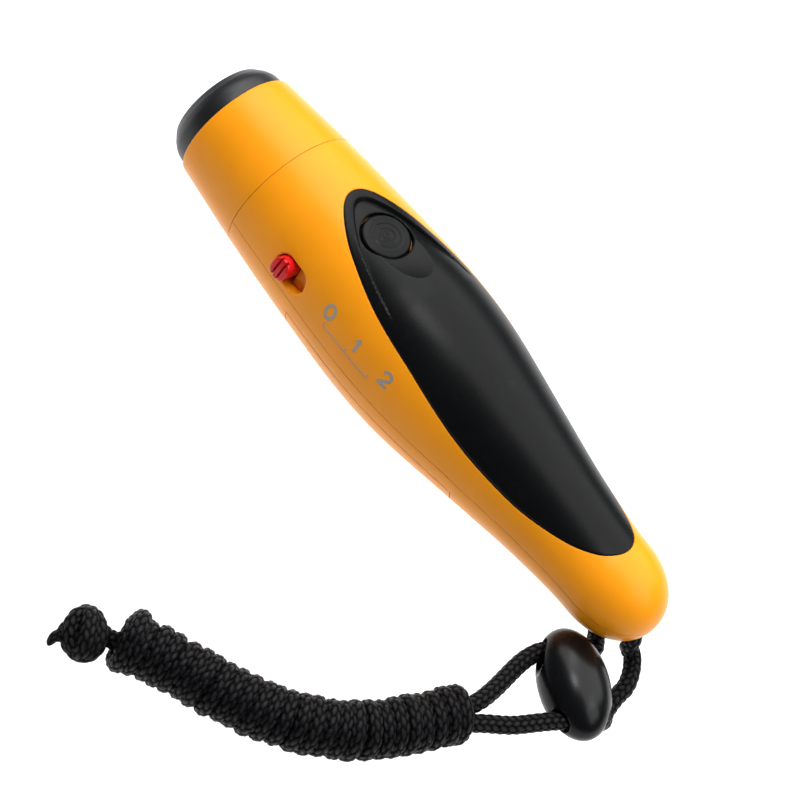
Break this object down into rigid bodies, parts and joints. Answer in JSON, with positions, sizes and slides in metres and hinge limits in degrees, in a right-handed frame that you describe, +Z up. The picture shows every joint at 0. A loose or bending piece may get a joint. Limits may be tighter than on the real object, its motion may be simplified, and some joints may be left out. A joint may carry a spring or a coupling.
{
  "type": "electronic whistle",
  "caption": "Handheld electronic whistle: tapering round body, black sound outlet, leaf-shaped thumb pad, side slide switch, belly battery door and coiled wrist cord with a sliding bead.",
  "frame": {"origin": "middle of the flat on the belly, on the plane that the whistle lies on, 44 mm behind the sound outlet's rim", "axes": "+X along the body's axis towards the sound outlet, +Y towards the tone switch, +Z up through the grip pad"},
  "size_m": [0.1581, 0.1238, 0.0363],
  "materials": {
    "body_orange": "glossy moulded ABS",
    "cap_black": "satin black moulded ABS",
    "pad_black": "satin soft-touch overmould",
    "knob_red": "glossy red plastic",
    "cord_black": "braided polyester cord",
    "bead_black": "polished black plastic",
    "foam": "closed-cell foam",
    "brass": "rolled brass",
    "ceramic": "fired piezo ceramic with a silvered face",
    "steel": "zinc-plated steel",
    "spring_steel": "nickel-plated spring steel",
    "board_green": "solder mask on glass-epoxy board",
    "component_black": "moulded component case",
    "copper": "enamelled copper winding on ferrite",
    "cell_jacket": "printed cell jacket",
    "wire_red": "PVC insulation",
    "wire_black": "PVC insulation"
  },
  "bodies": {
    "whistle": {"front_cap": "cap_black", "front_collar": "body_orange", "sounder_seal": "foam", "sounder_housing": "component_black", "piezo_disc": "brass", "piezo_ceramic": "ceramic", "sounder_retaining_ring": "component_black", "upper_shell": "body_orange", "lower_shell": "body_orange", "grip_pad": "pad_black", "tact_switch_body": "component_black", "slide_switch_body": "steel", "circuit_board": "board_green", "controller_chip": "component_black", "driver_transistor": "component_black", "boost_inductor": "copper", "smoothing_capacitor": "component_black", "board_screw_1": "steel", "board_screw_2": "steel", "case_screw_1": "steel", "case_screw_2": "steel", "case_screw_3": "steel", "case_screw_4": "steel", "battery_tray": "component_black", "cell_left": "cell_jacket", "cell_right": "cell_jacket", "contact_positive": "spring_steel", "contact_negative": "spring_steel", "contact_bridge": "spring_steel", "contact_spring_front": "spring_steel", "contact_spring_rear": "spring_steel", "sounder_wire_red": "wire_red", "sounder_wire_black": "wire_black", "battery_wire_red": "wire_red", "battery_wire_black": "wire_black", "cord_bight": "cord_black"},
    "button": {"thumb_button": "pad_black"},
    "switch_plunger": {"tact_switch_plunger": "component_black"},
    "tone_slider": {"tone_knob": "knob_red", "tone_shutter": "body_orange", "slide_switch_actuator": "component_black"},
    "door": {"battery_door": "body_orange"},
    "lanyard": {"cord_strand_front": "cord_black", "cord_strand_rear": "cord_black"},
    "bead": {"cord_bead": "bead_black"},
    "bundle": {"cord_coil": "cord_black", "cord_knot": "cord_black"}
  },
  "joints": [
    {"name": "thumb_button_press", "type": "slide", "parent": "whistle", "child": "button", "axis": [0, 0, -1], "range_m": [0, 0.0008]},
    {"name": "switch_plunger_press", "type": "slide", "parent": "whistle", "child": "switch_plunger", "axis": [0, 0, -1], "range_m": [0, 0.0008]},
    {"name": "tone_slide", "type": "slide", "parent": "whistle", "child": "tone_slider", "axis": [-1, 0, 0], "range_m": [0, 0.004]},
    {"name": "door_hinge", "type": "hinge", "parent": "whistle", "child": "door", "pos_m": [-0.056, 0, 0.0024], "axis": [0, 1, 0], "range_deg": [0, 75]},
    {"name": "lanyard_swing", "type": "hinge", "parent": "whistle", "child": "lanyard", "pos_m": [-0.0983, 0.003, 0.006], "axis": [1, 0, 0], "range_deg": [-90, 10], "deforming": ["cord_strand_front", "cord_strand_rear"]},
    {"name": "bead_slide", "type": "slide", "parent": "lanyard", "child": "bead", "axis": [0.4571, 0.8894, 0], "range_m": [0, 0.003]},
    {"name": "bundle_swing", "type": "hinge", "parent": "lanyard", "child": "bundle", "pos_m": [-0.096, 0.0376, 0.0063], "axis": [1, 0, 0], "range_deg": [-70, 70]}
  ],
  "couplings": [
    {"joint": "switch_plunger_press", "follows": "thumb_button_press", "ratio": 1}
  ]
}
